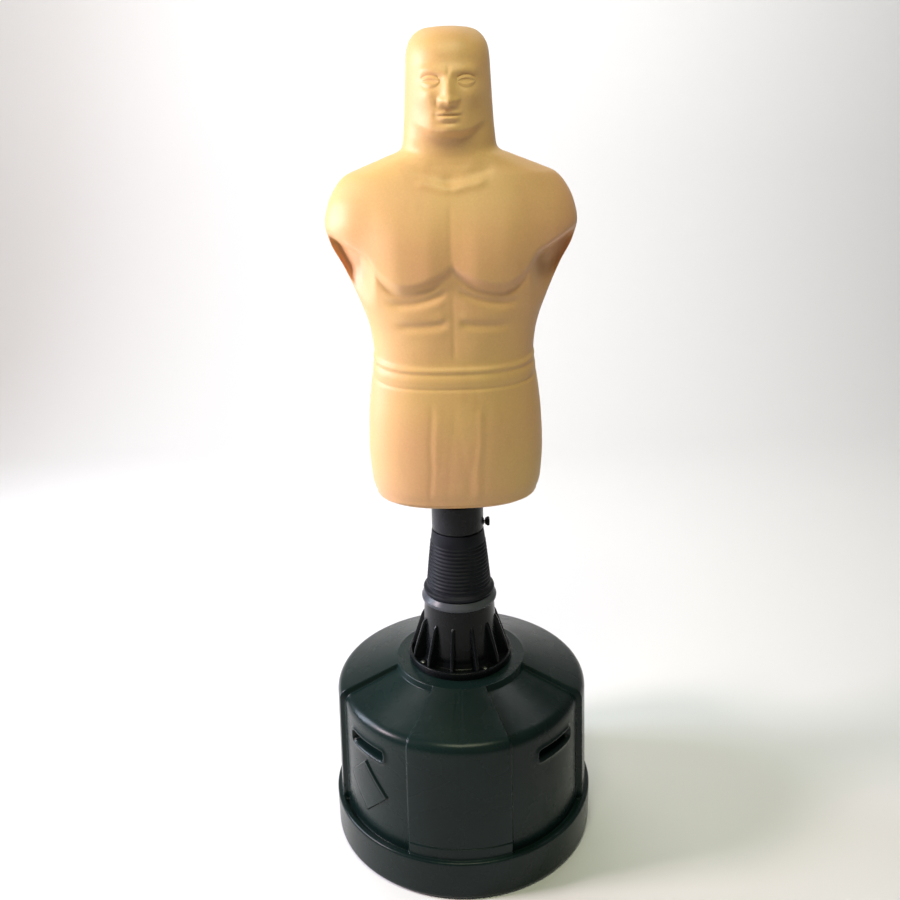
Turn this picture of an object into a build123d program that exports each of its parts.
"""Body opponent mannequin: a soft torso on a sprung, height-adjustable post over a fillable base.

Millimetres, +Z up, the mannequin faces -Y, origin on the floor under the middle of the base.
Angles around the base are counted from the front (-Y) towards the mannequin's left (+X).
"""
import os
from math import cos, degrees, pi, radians, sin

from build123d import *

# ---------------------------------------------------------------- driving dimensions
# base tank
BASE_R = 295.0
BASE_EDGE_ROUND = 12.0
SKIRT_TOP = 98.0
SKIRT_LIP_ROUND = 6.0
GROOVE_WIDTH = 9.0
GROOVE_DEPTH = 7.0
RECESS_FOOT_R = 273.0
RECESS_TOP_R = 267.5
RECESS_SHOULDER_Z = 366.0
PROUD_FOOT_R = 285.0
PROUD_TOP_R = 277.7
PROUD_SHOULDER_Z = 374.0
SHOULDER_ROUND = 26.0
BOSS_R = 141.0
BOSS_TOP = 425.0
RECESS_DROP = 9.0
WALL = 6.0
BALLAST_LEVEL = 352.0
BASE_TURN = -2.2
RECESS_MIDDLE = 47.9
RECESS_HALF = 24.6

# hand holds and the blank plate
HOLD_ANGLES = (-50.0, 47.0, 130.0, -133.0)
HOLD_WIDTH = 112.0
HOLD_HEIGHT = 28.0
HOLD_DEPTH = 40.0
HOLD_Z = 308.0
PLATE_ANGLE = -47.0
PLATE_SIDE = 96.0
PLATE_Z = 208.0
PLATE_THICK = 3.5

# filler
FILLER_Y = 205.0
FILLER_BORE_R = 19.0
FILLER_THREAD_R = 24.0
FILLER_PLUG_R = 28.0
CAP_R = 33.0
CAP_TOP_THICK = 5.0
CAP_HEIGHT = 24.0
CAP_CLEARANCE = 0.5
CAP_KNURLS = 20
NECK_RISE = 32.0
GASKET_THICK = 2.0

# ribbed collar
COLLAR_BORE_R = 71.5
COLLAR_FLOOR = 10.0
COLLAR_FLANGE_R = 114.0
COLLAR_RIM = 7.0
COLLAR_TOP = 585.0
COLLAR_LIP_R = 5.0
COLLAR_FOOT_R = 82.0
COLLAR_NECK_R = 75.5
RIB_COUNT = 12
RIB_THICK = 7.0
RIB_TOP = 530.0
RIB_TURN = 19.0
SCREW_CIRCLE_R = 98.0
COLLAR_SCREW_ANGLES = (32.0, 122.0, 212.0, 302.0)
HUB_BOLT_CIRCLE_R = 57.5
HUB_BOLT_ANGLES = (45.0, 135.0, 225.0, 315.0)
HUB_BOLT_R = 5.0
NUT_THICK = 8.0
HEX_R = 9.0
HOLE_CLEARANCE = 0.3

# main spring and its plates
PLATE_R = 68.0
PLATE_STEEL = 8.0
SPRING_MEAN_R = 42.0
SPRING_WIRE_R = 5.0
SPRING_PITCH = 19.5
SPRING_FOOT = 443.5
SPRING_HEAD = 689.5
SPIGOT_R = 36.0
SPIGOT_BORE_R = 20.0
SPIGOT_RISE = 12.0
CLIP_ANGLE = 9.0
CLIP_SIZE = (24.0, 12.0, 4.0)
CLIP_MIDDLE_R = 34.0
CLIP_SCREW_R = 28.0

# rubber boot
BOOT_FOOT = 556.0
BOOT_SPLIT = 645.0
BOOT_TOP = 736.0
BOOT_WALL = 3.0
BOOT_CUFF_TOP = 576.0
BOOT_FLARE_MIDDLE = 590.0
BOOT_FLARE_TOP = 600.0
BOOT_CUFF_R = 71.0
BOOT_WAIST_R = 69.5
BOOT_TOP_R = 55.5
RIDGE_FOOT = 604.0
RIDGE_TOP = 700.0
RIDGE_PITCH = 8.5
RIDGE_DEPTH = 1.6

# post, sleeve and height lock
POST_R = 40.0
POST_WALL = 3.5
POST_FOOT_Z = 701.0
POST_TOP = 1330.0
POST_CAP_THICK = 6.0
PIN_R = 3.0
PIN_Z = 719.0
KEYWAY_HALF = 6.0
KEYWAY_DEPTH = 2.5
FOOT_R = 52.2
BUSH_CLEARANCE = 0.08
SLEEVE_BORE_R = 42.5
SLEEVE_R = 45.0
SLEEVE_FOOT = 740.0
SLEEVE_FLANGE_R = 72.0
LOCK_COLLAR_R = 55.0
LOCK_COLLAR_HEIGHT = 62.0
LOCK_Z = 748.0
LOCK_EDGE_ROUND = 1.5
LOCK_NUT_R = 7.5
LOCK_NUT_RISE = 1.5
LOCK_SCREW_R = 4.0
PAD_R = 6.0
PAD_NOSE_HALF = 5.5
KNOB_R = 10.5
KNOB_LOBE_R = 4.0
KNOB_LENGTH = 10.0
KNOB_GAP = 3.5
PAD_CLEARANCE = 0.08

# torso: (height, half width, half depth, middle of the depth)
SKIN = 5.0
HEM_LIP = 20.0
BOTTOM_BOARD = 12.0
BOARD_SCREW_CIRCLE_R = 60.0
BOARD_SCREW_ANGLES = range(30, 360, 60)
TORSO_FOOT = 824.0
TRUNK = (
    (824, 156, 104, 0),
    (850, 170, 114, 0),
    (920, 177, 120, 0),
    (1000, 174, 118, 0),
    (1070, 166, 112, 0),
    (1130, 159, 107, 0),
    (1180, 166, 109, 0),
    (1240, 187, 116, 0),
    (1310, 219, 122, 0),
    (1385, 240, 119, 0),
    (1435, 227, 107, 2),
    (1475, 196, 92, 4),
    (1500, 146, 82, 4),
    (1514, 100, 76, 2),
)
HEAD = (
    (1490, 90, 78, 0),
    (1520, 86, 80, -4),
    (1560, 81.5, 86, -8),
    (1620, 78, 92, -8),
    (1670, 75, 90, -6),
    (1700, 67, 78, -4),
    (1714, 52, 60, -2),
    (1720, 38, 44, -2),
)

# a gap between two solids that touch on the real thing, and a cutter that reaches past everything
TINY = 0.2
FAR = 500.0


# ---------------------------------------------------------------- helpers
def profile(points, rounds=()):
    """Closed section in the XZ plane; rounds lists (x, z, radius) of corners to round."""
    face = make_face(Plane.XZ * Polyline(*points, close=True))
    for x, z, radius in rounds:
        corner = face.vertices().sort_by_distance((x, 0, z))[0]
        face = fillet(corner, radius)
    return face


def turned(points, rounds=()):
    return revolve(profile(points, rounds), Axis.Z)


def disc(z0, z1, radius, bore=0.0, at=(0.0, 0.0)):
    """Upright cylinder or ring between two heights."""
    section = Circle(radius) - Circle(bore) if bore else Circle(radius)
    return extrude(Pos(at[0], at[1], z0) * section, z1 - z0)


def rod_x(x0, x1, radius, z):
    """Level cylinder along X."""
    return extrude(Plane.YZ.offset(x0) * Pos(0, z) * Circle(radius), x1 - x0)


def round_the_base(angle, radius):
    """Point on a circle around the base, angle from the front towards +X."""
    return radius * sin(radians(angle)), -radius * cos(radians(angle))


def ring_of(shape, angles, radius):
    """Copies of a shape at the given angles on a circle, as one group of solids."""
    spots = [round_the_base(angle, radius) for angle in angles]
    return Compound(children=[Pos(x, y, 0) * shape for x, y in spots])


def holes(angles, circle_r, radius, z0, z1):
    """Cutters for a ring of round holes."""
    return [disc(z0, z1, radius, at=round_the_base(angle, circle_r)) for angle in angles]


def write(name, shape):
    shape.label = name
    export_step(shape, f"parts/{name}.step")


# ---------------------------------------------------------------- base tank
def sector(middle, half, z0, z1):
    """Pie slice of the base between two heights."""
    reach = 2 * BASE_R
    edge = [round_the_base(middle + turn, reach) for turn in (-half, 0.0, half)]
    slice_face = make_face(Polyline((0, 0), *edge, close=True))
    return extrude(Pos(0, 0, z0) * slice_face, z1 - z0)


DRUM_FOOT = SKIRT_TOP - 30.0


def recessed_drum(inset):
    """Solid of the recessed level; a positive inset gives the hollow's surface."""
    foot_r, top_r = RECESS_FOOT_R - inset, RECESS_TOP_R - inset
    top = BOSS_TOP - RECESS_DROP - inset
    shoulder = (top_r, RECESS_SHOULDER_Z - inset)
    points = [(0, DRUM_FOOT), (foot_r, DRUM_FOOT), shoulder, (BOSS_R, top), (0, top)]
    return turned(points, [(*shoulder, SHOULDER_ROUND - inset)])


def proud_drum(inset):
    """Solid of the proud level, which the boss and all but two sectors keep."""
    foot_r, top_r = PROUD_FOOT_R - inset, PROUD_TOP_R - inset
    top = BOSS_TOP - inset
    shoulder = (top_r, PROUD_SHOULDER_Z - inset)
    points = [(0, DRUM_FOOT), (foot_r, DRUM_FOOT), shoulder, (BOSS_R, top), (0, top)]
    return turned(points, [(*shoulder, SHOULDER_ROUND - inset)])


def drum(inset):
    """Tank above the skirt: proud, with a recessed sector on each side of the front one."""
    proud = proud_drum(inset)
    kept = proud
    for middle in (-RECESS_MIDDLE, RECESS_MIDDLE):
        widened = RECESS_HALF + degrees(inset / PROUD_TOP_R)
        kept -= sector(middle + BASE_TURN, widened, 0, FAR)
    return recessed_drum(inset) + kept + (proud & disc(DRUM_FOOT, FAR, BOSS_R - inset))


def hold_block(angle, grow):
    """Box of a hand hold, grown on every side for the wall around it."""
    outer = BASE_R
    inner = RECESS_TOP_R - HOLD_DEPTH - grow
    block = Box(HOLD_WIDTH + 2 * grow, outer - inner, HOLD_HEIGHT + 2 * grow)
    return Rot(0, 0, angle) * Pos(0, -(outer + inner) / 2, HOLD_Z) * block


def base_hollow(inset):
    """Inside of the tank, clear of the hand-hold pockets and the filler."""
    hollow = drum(inset) + disc(inset, SKIRT_TOP - GROOVE_DEPTH - inset, BASE_R - inset)
    for angle in HOLD_ANGLES:
        hollow -= hold_block(angle, inset - TINY)
    return hollow


def blank_plate():
    """Raised plain diamond that follows the curve of one recessed wall."""
    shell = turned([(RECESS_TOP_R - 12, 100), (RECESS_FOOT_R + PLATE_THICK, 100),
                    (RECESS_TOP_R + PLATE_THICK, RECESS_SHOULDER_Z), (RECESS_TOP_R - 12, RECESS_SHOULDER_Z)])
    diamond = Rot(0, 45, 0) * Box(PLATE_SIDE, 80, PLATE_SIDE)
    return shell & (Rot(0, 0, PLATE_ANGLE) * Pos(0, -RECESS_TOP_R, PLATE_Z) * diamond)


# heights between which holes go through the tank's top wall, and through the collar's floor
TOP_WALL_CUT = (380.0, 430.0)
FLOOR_CUT = (420.0, 450.0)


def base_shell():
    skirt = turned([(0, 0), (BASE_R, 0), (BASE_R, SKIRT_TOP), (0, SKIRT_TOP)],
                   [(BASE_R, 0, BASE_EDGE_ROUND), (BASE_R, SKIRT_TOP, SKIRT_LIP_ROUND)])
    groove = disc(SKIRT_TOP - GROOVE_DEPTH, SKIRT_TOP + 1, RECESS_FOOT_R + GROOVE_WIDTH, RECESS_FOOT_R - 0.5)
    skirt -= groove
    shell = skirt + drum(0.0) + blank_plate()
    shell -= base_hollow(WALL)
    for angle in HOLD_ANGLES:
        shell -= hold_block(angle, 0.0)
    shell -= disc(BALLAST_LEVEL, FAR, FILLER_PLUG_R, at=(0, FILLER_Y))
    for cut in holes(HUB_BOLT_ANGLES, HUB_BOLT_CIRCLE_R, HUB_BOLT_R + HOLE_CLEARANCE, *TOP_WALL_CUT):
        shell -= cut
    for cut in holes(COLLAR_SCREW_ANGLES, SCREW_CIRCLE_R, 2.5, *TOP_WALL_CUT):
        shell -= cut
    return shell


def ballast_fill():
    return base_hollow(WALL + 0.5) & disc(0, BALLAST_LEVEL, BASE_R)


# ---------------------------------------------------------------- filler
def cone_height(radius):
    """Height of the proud top surface at a radius."""
    run = (radius - BOSS_R) / (PROUD_TOP_R - BOSS_R)
    return BOSS_TOP - run * (BOSS_TOP - PROUD_SHOULDER_Z)


NECK_TOP = cone_height(FILLER_Y) + NECK_RISE
CAP_FOOT = NECK_TOP + GASKET_THICK + CAP_TOP_THICK - CAP_HEIGHT


def filler_neck():
    """Moulded-in neck: a threaded spout with a washer-like foot under the tank's top."""
    foot = cone_height(FILLER_Y) - 22
    spout = disc(foot, NECK_TOP, FILLER_THREAD_R, FILLER_BORE_R, at=(0, FILLER_Y))
    plug = disc(foot, CAP_FOOT - 5, FILLER_PLUG_R - TINY, FILLER_BORE_R, at=(0, FILLER_Y))
    return spout + plug


def filler_cap_gasket():
    return disc(NECK_TOP, NECK_TOP + GASKET_THICK, FILLER_THREAD_R - 0.5, at=(0, FILLER_Y))


def filler_cap():
    top = NECK_TOP + GASKET_THICK + CAP_TOP_THICK
    cap = disc(CAP_FOOT, top, CAP_R, at=(0, FILLER_Y))
    cap = fillet(cap.edges().filter_by(GeomType.CIRCLE).sort_by(Axis.Z)[-1], 2.5)
    cap -= disc(CAP_FOOT - 1, top - CAP_TOP_THICK, FILLER_THREAD_R + CAP_CLEARANCE, at=(0, FILLER_Y))
    for number in range(CAP_KNURLS):
        angle = 2 * pi * number / CAP_KNURLS
        spot = (CAP_R * cos(angle), FILLER_Y + CAP_R * sin(angle))
        cap -= disc(CAP_FOOT - 1, top - 4, 1.8, at=spot)
    grip = Pos(0, FILLER_Y, top + 4) * Box(44, 8, 8)
    return cap + fillet(grip.edges().filter_by(Axis.Z), 3)


# ---------------------------------------------------------------- ribbed collar
def collar():
    floor_top = BOSS_TOP + COLLAR_FLOOR
    body = turned([
        (0, BOSS_TOP), (COLLAR_FLANGE_R - 3, BOSS_TOP), (COLLAR_FLANGE_R, BOSS_TOP + 4),
        (COLLAR_FLANGE_R, floor_top + COLLAR_RIM), (COLLAR_FLANGE_R - 5, floor_top + COLLAR_RIM),
        (COLLAR_FLANGE_R - 7, floor_top), (COLLAR_FOOT_R + 6, floor_top), (COLLAR_FOOT_R, floor_top + 8),
        (COLLAR_NECK_R, COLLAR_TOP), (COLLAR_BORE_R, COLLAR_TOP), (COLLAR_BORE_R, floor_top),
        (0, floor_top)])
    lip = revolve(Plane.XZ * Pos(COLLAR_NECK_R, COLLAR_TOP) * Circle(COLLAR_LIP_R), Axis.Z)
    body += lip - disc(COLLAR_TOP - 20, COLLAR_TOP + 20, COLLAR_BORE_R)
    fin = profile([(COLLAR_NECK_R - 2, floor_top - 1), (COLLAR_FLANGE_R - 4, floor_top - 1),
                   (COLLAR_FLANGE_R - 5, floor_top + COLLAR_RIM), (COLLAR_NECK_R + 4, RIB_TOP),
                   (COLLAR_NECK_R - 2, RIB_TOP + 8)])
    fin = Pos(0, RIB_THICK / 2, 0) * extrude(fin, RIB_THICK)
    for number in range(RIB_COUNT):
        body += Rot(0, 0, RIB_TURN - 90 + number * 360 / RIB_COUNT) * fin
    for cut in holes(HUB_BOLT_ANGLES, HUB_BOLT_CIRCLE_R, HUB_BOLT_R + HOLE_CLEARANCE, *FLOOR_CUT):
        body -= cut
    for cut in holes(COLLAR_SCREW_ANGLES, SCREW_CIRCLE_R, 3.0, *FLOOR_CUT):
        body -= cut
    return body


def hex_bolt(head_z, tip_z, radius, head_height, head_r):
    """Hex head above head_z and a shank down to tip_z."""
    head = extrude(Pos(0, 0, head_z) * RegularPolygon(head_r, 6), head_height)
    return head + disc(tip_z, head_z, radius)


def pan_screw(head_z, tip_z, radius, head_height, head_r):
    """Low round head with a cross slot."""
    head = disc(head_z, head_z + head_height, head_r)
    head = fillet(head.edges().filter_by(GeomType.CIRCLE).sort_by(Axis.Z)[-1], head_height * 0.6)
    slot = Box(head_r, 1.2, 2) + Box(1.2, head_r, 2)
    return head - Pos(0, 0, head_z + head_height) * slot + disc(tip_z, head_z, radius)


# ---------------------------------------------------------------- spring and plates
FOOT_PLATE_Z = BOSS_TOP + COLLAR_FLOOR
HEAD_PLATE_Z = SPRING_HEAD + 0.5
HEAD_SCREW_R = 44.0
HUB_PLATE_FOOT = BOSS_TOP - 27.0
HUB_PLATE_TOP = BOSS_TOP - WALL - RECESS_DROP - TINY - 4.0
HUB_PLATE_R = 78.0
HUB_PLATE_BORE_R = 34.0
HEAD_SCREW_ANGLES = (45.0, 135.0, 225.0, 315.0)


def spring_foot_plate():
    top = FOOT_PLATE_Z + PLATE_STEEL
    plate = disc(FOOT_PLATE_Z, top, PLATE_R)
    for cut in holes(HUB_BOLT_ANGLES, HUB_BOLT_CIRCLE_R, HUB_BOLT_R + HOLE_CLEARANCE, *FLOOR_CUT):
        plate -= cut
    plate += disc(top, top + SPIGOT_RISE, SPIGOT_R, SPIGOT_BORE_R)
    return plate - clip_hole(top)


def spring_head_plate():
    plate = disc(HEAD_PLATE_Z, HEAD_PLATE_Z + PLATE_STEEL, FOOT_R)
    plate += disc(HEAD_PLATE_Z - SPIGOT_RISE, HEAD_PLATE_Z, SPIGOT_R, SPIGOT_BORE_R)
    for angle in HEAD_SCREW_ANGLES:
        x, y = round_the_base(angle, HEAD_SCREW_R)
        plate -= Pos(x, y, 0) * sunk_screw(HOLE_CLEARANCE)
    return plate - clip_hole(HEAD_PLATE_Z - SPIGOT_RISE)


def sunk_screw(grow):
    """Flush screw from under the head plate up into the post's foot."""
    z = HEAD_PLATE_Z
    head = [(0, z), (3.6 + grow, z), (2.0 + grow, z + 2.5), (2.0 + grow, z + 20), (0, z + 20)]
    return turned(head)


def clip_hole(z):
    x, y = round_the_base(CLIP_ANGLE + 90, CLIP_SCREW_R)
    return disc(z - 10, z + SPIGOT_RISE + 10, 2.6, at=(x, y))


def spring_clip(z):
    """Flat clip on a spigot's end that reaches over the spring's end turn."""
    length, width, thick = CLIP_SIZE
    clip = Rot(0, 0, CLIP_ANGLE) * Pos(CLIP_MIDDLE_R, 0, z + thick / 2) * Box(length, width, thick)
    return clip - clip_hole(z)


def clip_screw(z, head_up):
    """Screw through a clip into its spigot, with its head on the clip's free face."""
    turn = 0 if head_up else 180
    x, y = round_the_base(CLIP_ANGLE + 90, CLIP_SCREW_R)
    thick = CLIP_SIZE[2]
    screw = pan_screw(thick, thick - 12, 2.4, 2.6, 4.5)
    return Pos(x, y, z) * Rot(turn, 0, 0) * screw


def main_spring():
    height = SPRING_HEAD - SPRING_FOOT - 2 * SPRING_WIRE_R - 1
    path = Pos(0, 0, SPRING_FOOT + SPRING_WIRE_R + 0.5) * Helix(SPRING_PITCH, height, SPRING_MEAN_R)
    wire = Plane(origin=path @ 0, z_dir=path % 0) * Circle(SPRING_WIRE_R)
    return sweep(wire, path=path)


def hub_plate():
    """Backing ring inside the tank, under its top wall."""
    plate = disc(HUB_PLATE_FOOT, HUB_PLATE_TOP, HUB_PLATE_R, HUB_PLATE_BORE_R)
    for cut in holes(HUB_BOLT_ANGLES, HUB_BOLT_CIRCLE_R, HUB_BOLT_R + HOLE_CLEARANCE, *TOP_WALL_CUT):
        plate -= cut
    return plate


# ---------------------------------------------------------------- boot
def boot_radius(z):
    """Outside of the boot: straight taper, flaring to the cuff near its foot."""
    taper = (z - BOOT_FLARE_TOP) / (BOOT_TOP - BOOT_FLARE_TOP)
    if taper >= 0:
        return BOOT_WAIST_R + (BOOT_TOP_R - BOOT_WAIST_R) * taper
    flare = min(1.0, (BOOT_FLARE_TOP - z) / (BOOT_FLARE_TOP - BOOT_CUFF_TOP))
    return BOOT_WAIST_R + (BOOT_CUFF_R - BOOT_WAIST_R) * flare


def boot_part(z0, z1):
    """Length of the boot; the ridges stand between the flare and the plain top."""
    outer = [(boot_radius(z0), z0)]
    ridge = RIDGE_FOOT
    while ridge < RIDGE_TOP:
        if z0 + 2 < ridge and ridge + RIDGE_PITCH < z1:
            outer.append((boot_radius(ridge), ridge))
            outer.append((boot_radius(ridge + RIDGE_PITCH / 2) - RIDGE_DEPTH, ridge + RIDGE_PITCH / 2))
        ridge += RIDGE_PITCH
    outer.append((boot_radius(z1), z1))
    if z0 < BOOT_CUFF_TOP:
        outer[1:1] = [(BOOT_CUFF_R, BOOT_CUFF_TOP), (boot_radius(BOOT_FLARE_MIDDLE), BOOT_FLARE_MIDDLE)]
    inner = [(radius - BOOT_WALL, z) for radius, z in reversed(outer)]
    return turned(outer + inner)


# ---------------------------------------------------------------- post
def keyway(x_floor, z0, z1):
    return Pos(x_floor + 10, 0, (z0 + z1) / 2) * Box(20, 2 * KEYWAY_HALF, z1 - z0 + 2)


def post_tube():
    tube = disc(POST_FOOT_Z, POST_TOP, POST_R, POST_R - POST_WALL)
    tube -= rod_x(-POST_R - 1, POST_R + 1, PIN_R + 0.1, PIN_Z)
    return tube - keyway(POST_R - KEYWAY_DEPTH, BOOT_TOP, POST_TOP)


def post_foot():
    """Hub on the spring's head plate: holds the tube and the boot's top cuff."""
    foot = HEAD_PLATE_Z + PLATE_STEEL
    hub = disc(foot, BOOT_TOP, FOOT_R) - disc(POST_FOOT_Z, BOOT_TOP + 1, POST_R + 0.05)
    hub -= rod_x(-FOOT_R - 1, FOOT_R + 1, PIN_R + 0.1, PIN_Z)
    for angle in HEAD_SCREW_ANGLES:
        x, y = round_the_base(angle, HEAD_SCREW_R)
        hub -= disc(foot - 1, foot + 13, 2.1, at=(x, y))
    return hub


def post_pin():
    """Cross pin that locks the tube in its foot."""
    return rod_x(-FOOT_R + 1, FOOT_R - 1, PIN_R, PIN_Z)


def post_top_cap():
    cap = disc(POST_TOP, POST_TOP + POST_CAP_THICK, POST_R - 0.5)
    return cap + disc(POST_TOP - 20, POST_TOP, POST_R - POST_WALL - 0.1, 20)


# ---------------------------------------------------------------- torso
def torso_form(inset, foot):
    """Outer form of the torso and head, or its inset copy."""
    def stack(stations):
        faces = []
        for z, half_width, half_depth, middle in stations:
            height = min(max(z, foot), HEAD[-1][0] - inset)
            faces.append(Pos(0, middle, height) * Ellipse(half_width - inset, half_depth - inset))
        return loft(faces)
    return stack(TRUNK) + stack(HEAD)


def torso_skin():
    cavity = torso_form(SKIN, TORSO_FOOT + SKIN)
    opening = Pos(0, 0, TORSO_FOOT - 5) * Ellipse(TRUNK[0][1] - HEM_LIP, TRUNK[0][2] - HEM_LIP)
    return torso_form(0.0, TORSO_FOOT) - cavity - extrude(opening, 12)


BOARD_Z = TORSO_FOOT + SKIN + 0.3
BORE_TOP = POST_TOP + 24.0
SLEEVE_TOP = BORE_TOP - 12.0
LOWER_BUSH = (780.0, 820.0)
UPPER_BUSH = (BORE_TOP - 60.0, BORE_TOP - 30.0)


def torso_foam():
    board_top = BOARD_Z + BOTTOM_BOARD + TINY
    foam = torso_form(SKIN + TINY, TORSO_FOOT + SKIN)
    foam -= Pos(0, 0, board_top / 2) * Box(FAR, FAR, board_top)
    return foam - disc(board_top - 1, BORE_TOP, SLEEVE_R + TINY)


def torso_board():
    outline = Ellipse(TRUNK[0][1] - SKIN - 3, TRUNK[0][2] - SKIN - 3) - Circle(SLEEVE_R + TINY)
    board = extrude(Pos(0, 0, BOARD_Z) * outline, BOTTOM_BOARD)
    for cut in holes(BOARD_SCREW_ANGLES, BOARD_SCREW_CIRCLE_R, 2.2, BOARD_Z - 1, BOARD_Z + BOTTOM_BOARD - 2):
        board -= cut
    return board


def torso_sleeve():
    sleeve = disc(SLEEVE_FOOT, SLEEVE_TOP, SLEEVE_R, SLEEVE_BORE_R)
    flange = disc(BOARD_Z - 5, BOARD_Z, SLEEVE_FLANGE_R, SLEEVE_R - 1)
    for cut in holes(BOARD_SCREW_ANGLES, BOARD_SCREW_CIRCLE_R, 3.2, BOARD_Z - 6, BOARD_Z + 1):
        flange -= cut
    return sleeve + flange - rod_x(30, 60, PAD_R + TINY, LOCK_Z)


def sleeve_cap():
    """Closes the sleeve; its inside face rests on the post at the lowest height."""
    cap = disc(SLEEVE_TOP, SLEEVE_TOP + 8, SLEEVE_R - TINY)
    return cap + disc(POST_TOP + POST_CAP_THICK, SLEEVE_TOP, SLEEVE_BORE_R - 0.1)


def bush(z0, z1):
    return disc(z0, z1, SLEEVE_BORE_R - 0.05, POST_R + BUSH_CLEARANCE)


# ---------------------------------------------------------------- height lock
KNOB_X = LOCK_COLLAR_R + KNOB_GAP
KNOB_LOBES = 5


def lock_collar():
    ring = disc(SLEEVE_FOOT, SLEEVE_FOOT + LOCK_COLLAR_HEIGHT, LOCK_COLLAR_R, SLEEVE_R + 0.05)
    ring = fillet(ring.edges().filter_by(GeomType.CIRCLE).group_by(SortBy.RADIUS)[-1], LOCK_EDGE_ROUND)
    nut = rod_x(SLEEVE_R + 3, LOCK_COLLAR_R + LOCK_NUT_RISE, LOCK_NUT_R, LOCK_Z)
    screw_way = rod_x(POST_R, LOCK_COLLAR_R + 5, LOCK_SCREW_R + PAD_CLEARANCE, LOCK_Z)
    pad_way = rod_x(POST_R, SLEEVE_R + 1.5, PAD_R + TINY, LOCK_Z)
    return ring + nut - screw_way - pad_way


def clamp_pad():
    """Round pad whose flattened sides run in the post's keyway."""
    start = POST_R - KEYWAY_DEPTH + TINY
    pad = rod_x(start, SLEEVE_R - 1.2, PAD_R, LOCK_Z)
    return pad & (Pos(SLEEVE_R, 0, LOCK_Z) * Box(30, 2 * PAD_NOSE_HALF, 2 * PAD_NOSE_HALF))


def clamp_screw():
    return rod_x(SLEEVE_R - 1.0, KNOB_X + KNOB_LENGTH - 1.5, LOCK_SCREW_R, LOCK_Z)


def clamp_knob():
    knob = rod_x(KNOB_X, KNOB_X + KNOB_LENGTH, KNOB_R - 2.5, LOCK_Z)
    reach = KNOB_R - KNOB_LOBE_R
    for number in range(KNOB_LOBES):
        angle = 2 * pi * number / KNOB_LOBES + pi / 2
        lobe = Pos(reach * cos(angle), LOCK_Z + reach * sin(angle)) * Circle(KNOB_LOBE_R)
        knob += extrude(Plane.YZ.offset(KNOB_X) * lobe, KNOB_LENGTH)
    return knob - rod_x(KNOB_X - 1, KNOB_X + KNOB_LENGTH - 1.5, LOCK_SCREW_R + 0.05, LOCK_Z)


# ---------------------------------------------------------------- everything
def main():
    os.makedirs("parts", exist_ok=True)
    plate_top = FOOT_PLATE_Z + PLATE_STEEL
    nut = extrude(Pos(0, 0, HUB_PLATE_FOOT - NUT_THICK) * RegularPolygon(HEX_R, 6), NUT_THICK)
    nut -= disc(HUB_PLATE_FOOT - NUT_THICK - 1, HUB_PLATE_FOOT + 1, HUB_BOLT_R + 0.1)
    bolt = hex_bolt(plate_top, HUB_PLATE_FOOT - NUT_THICK - 2, HUB_BOLT_R, 6.5, HEX_R)
    floor_top = BOSS_TOP + COLLAR_FLOOR
    collar_screw = pan_screw(floor_top, floor_top - 22, 2.4, 3.2, 5.5)
    board_screw = Rot(180, 0, 0) * pan_screw(5 - BOARD_Z, -8 - BOARD_Z, 2.0, 3.0, 5.0)
    lower_clip_z = plate_top + SPIGOT_RISE
    upper_clip_z = HEAD_PLATE_Z - SPIGOT_RISE
    parts = {
        "base_shell": base_shell(),
        "ballast_fill": ballast_fill(),
        "filler_neck": filler_neck(),
        "filler_cap_gasket": filler_cap_gasket(),
        "filler_cap": filler_cap(),
        "hub_plate": hub_plate(),
        "hub_bolts": ring_of(bolt, HUB_BOLT_ANGLES, HUB_BOLT_CIRCLE_R),
        "hub_nuts": ring_of(nut, HUB_BOLT_ANGLES, HUB_BOLT_CIRCLE_R),
        "collar": collar(),
        "collar_screws": ring_of(collar_screw, COLLAR_SCREW_ANGLES, SCREW_CIRCLE_R),
        "spring_foot_plate": spring_foot_plate(),
        "main_spring": main_spring(),
        "spring_head_plate": spring_head_plate(),
        "spring_clip_lower": spring_clip(lower_clip_z),
        "spring_clip_upper": spring_clip(upper_clip_z - CLIP_SIZE[2]),
        "clip_screw_lower": clip_screw(lower_clip_z, True),
        "clip_screw_upper": clip_screw(upper_clip_z, False),
        "head_plate_screws": ring_of(sunk_screw(0.0), HEAD_SCREW_ANGLES, HEAD_SCREW_R),
        "boot_lower": boot_part(BOOT_FOOT, BOOT_SPLIT),
        "boot_upper": boot_part(BOOT_SPLIT, BOOT_TOP),
        "post_foot": post_foot(),
        "post_tube": post_tube(),
        "post_pin": post_pin(),
        "post_top_cap": post_top_cap(),
        "torso_skin": torso_skin(),
        "torso_foam": torso_foam(),
        "torso_board": torso_board(),
        "torso_board_screws": ring_of(board_screw, BOARD_SCREW_ANGLES, BOARD_SCREW_CIRCLE_R),
        "torso_sleeve": torso_sleeve(),
        "lower_bush": bush(*LOWER_BUSH),
        "upper_bush": bush(*UPPER_BUSH),
        "sleeve_cap": sleeve_cap(),
        "lock_collar": lock_collar(),
        "clamp_pad": clamp_pad(),
        "clamp_screw": clamp_screw(),
        "clamp_knob": clamp_knob(),
    }
    for name, shape in parts.items():
        write(name, shape)


main()
